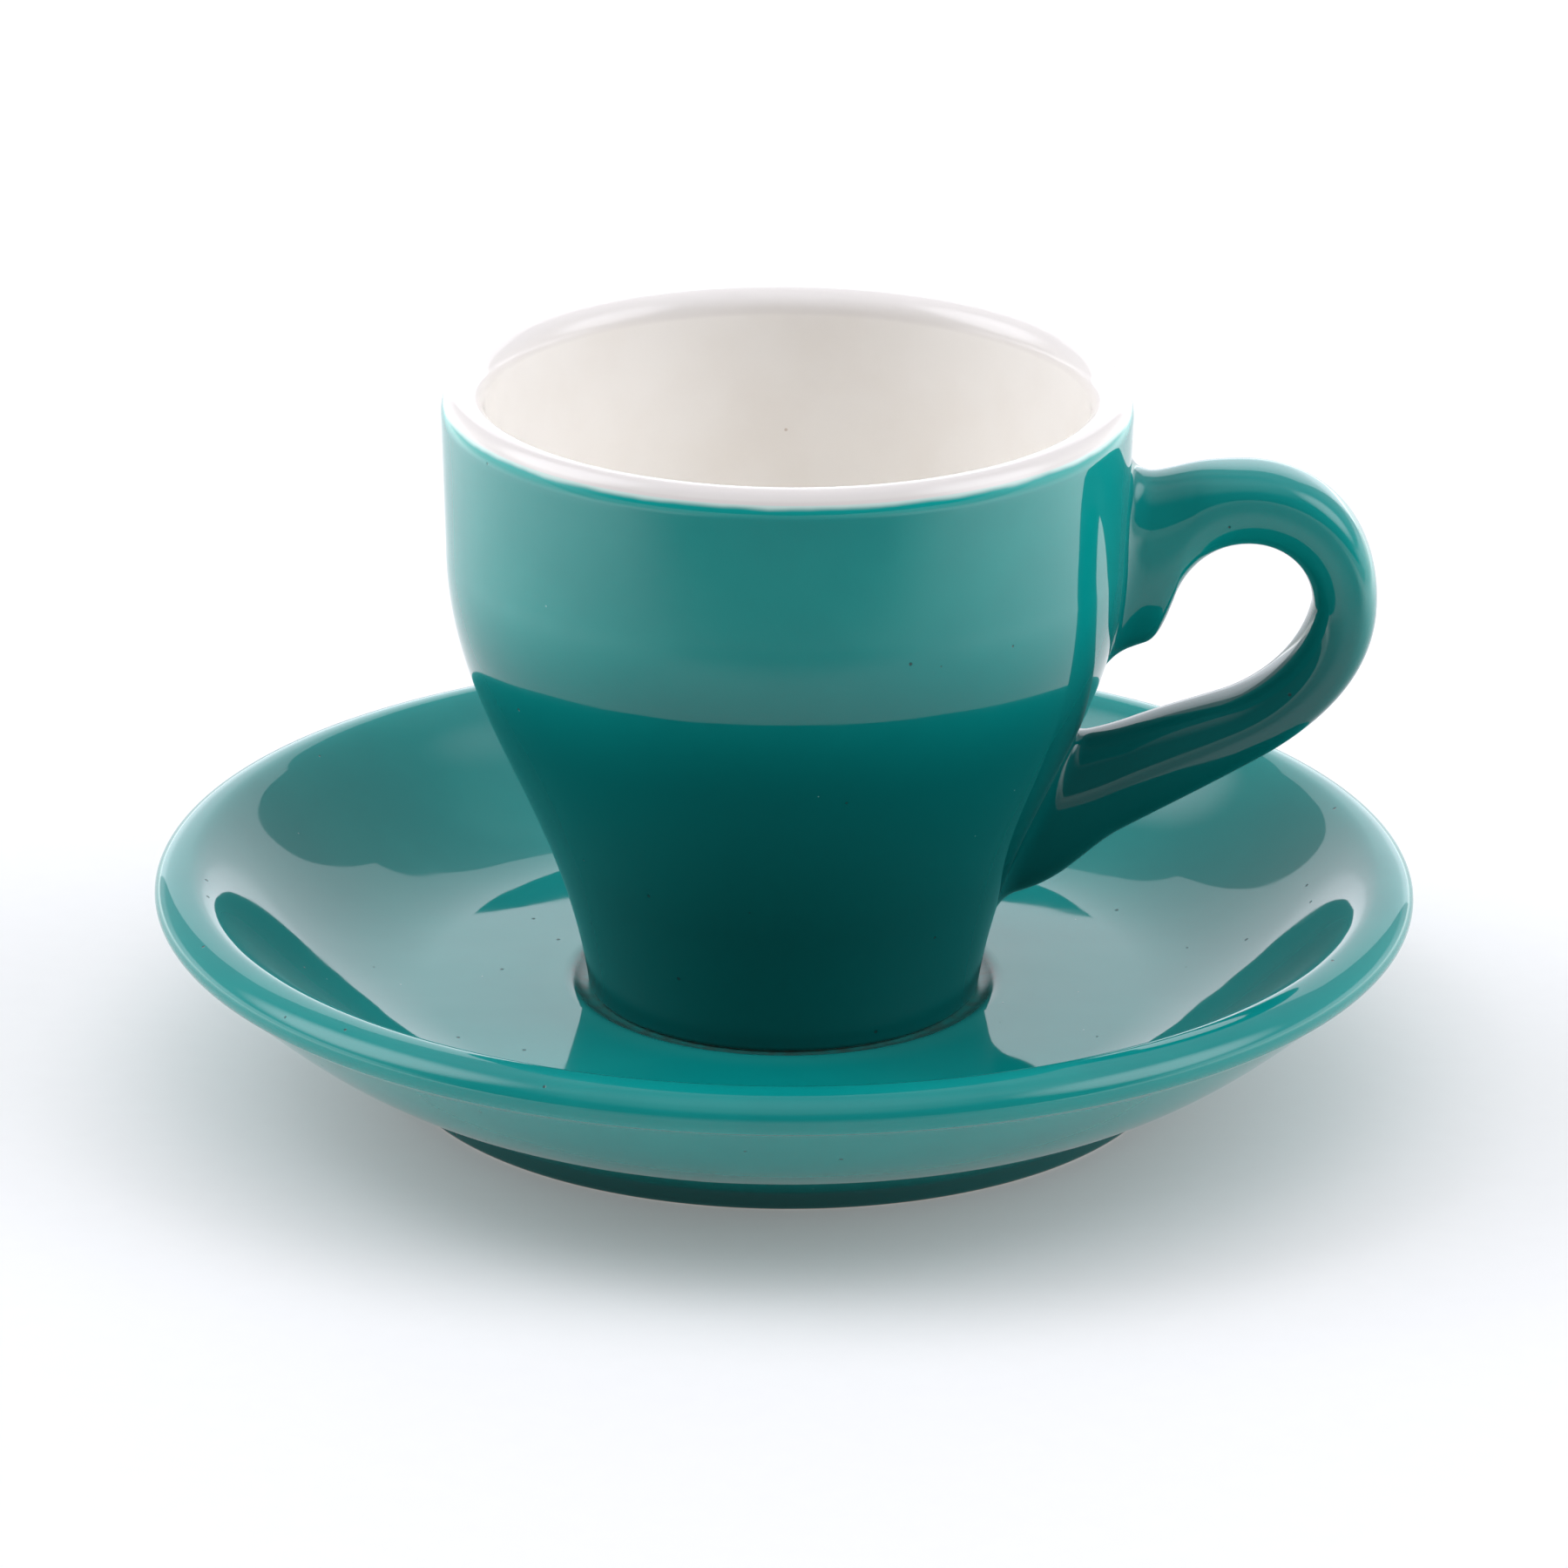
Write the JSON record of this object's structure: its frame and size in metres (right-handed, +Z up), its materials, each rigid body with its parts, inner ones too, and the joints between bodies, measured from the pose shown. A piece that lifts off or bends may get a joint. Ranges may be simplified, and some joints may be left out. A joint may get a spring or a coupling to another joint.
{
  "type": "espresso cup with saucer",
  "caption": "Thick-walled espresso cup with an ear handle, teal outside and white inside, standing loose in the well of its round teal saucer.",
  "frame": {"origin": "centre of the saucer's foot ring, on the surface it stands on", "axes": "+Z up, +X from the cup's axis towards the handle, +Y to the left of the handle seen from above"},
  "size_m": [0.12, 0.12, 0.0682],
  "materials": {
    "teal_glaze": "gloss",
    "white_glaze": "gloss",
    "bare_clay": "matte"
  },
  "bodies": {
    "saucer": {"saucer_body": "bare_clay", "saucer_glaze": "teal_glaze"},
    "cup": {"cup_body": "bare_clay", "cup_lining": "white_glaze", "cup_glaze": "teal_glaze", "handle": "teal_glaze", "upper_handle_slip": "teal_glaze", "lower_handle_slip": "teal_glaze"}
  },
  "joints": [
    {"name": "cup_lift", "type": "slide", "parent": "saucer", "child": "cup", "axis": [0, 0, 1], "range_m": [0, 0.026]}
  ]
}
